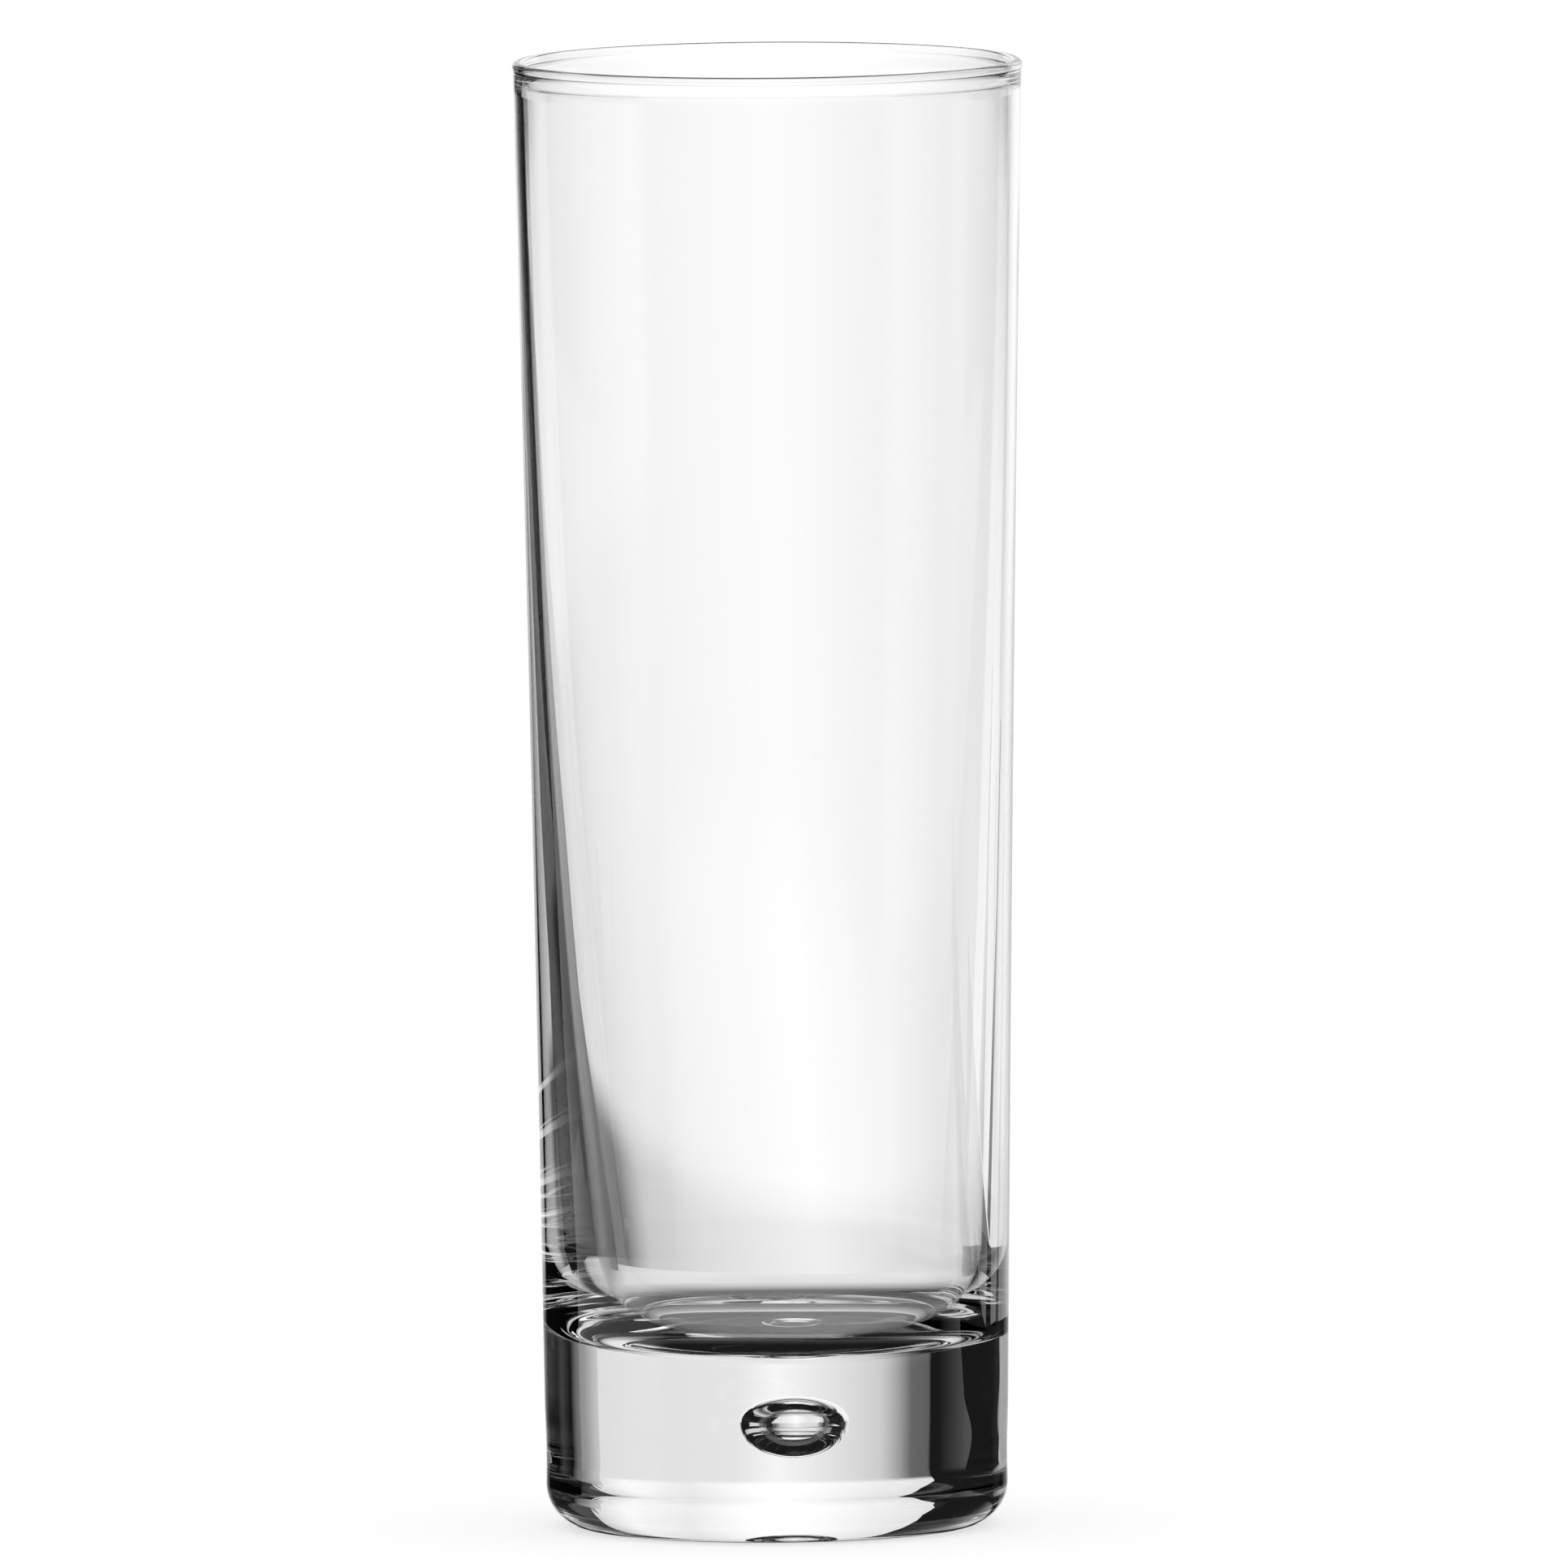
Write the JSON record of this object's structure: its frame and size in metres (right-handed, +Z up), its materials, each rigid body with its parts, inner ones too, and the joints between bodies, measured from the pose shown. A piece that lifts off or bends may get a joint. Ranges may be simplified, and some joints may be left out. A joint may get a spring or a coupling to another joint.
{
  "type": "highball glass",
  "caption": "Tall clear highball glass with a thin, slightly tapered wall, a fire-polished rim and a heavy solid base that holds a sealed air bubble.",
  "frame": {"origin": "centre of the standing ring, on the plane that the glass stands on", "axes": "+Z up along the axis of the glass, towards the rim; +X towards the side on which the air bubble lies off the axis"},
  "size_m": [0.058, 0.058, 0.167],
  "materials": {
    "glass": "clear, fire-polished"
  },
  "bodies": {
    "root": {"bowl": "glass", "base": "glass"}
  },
  "joints": []
}
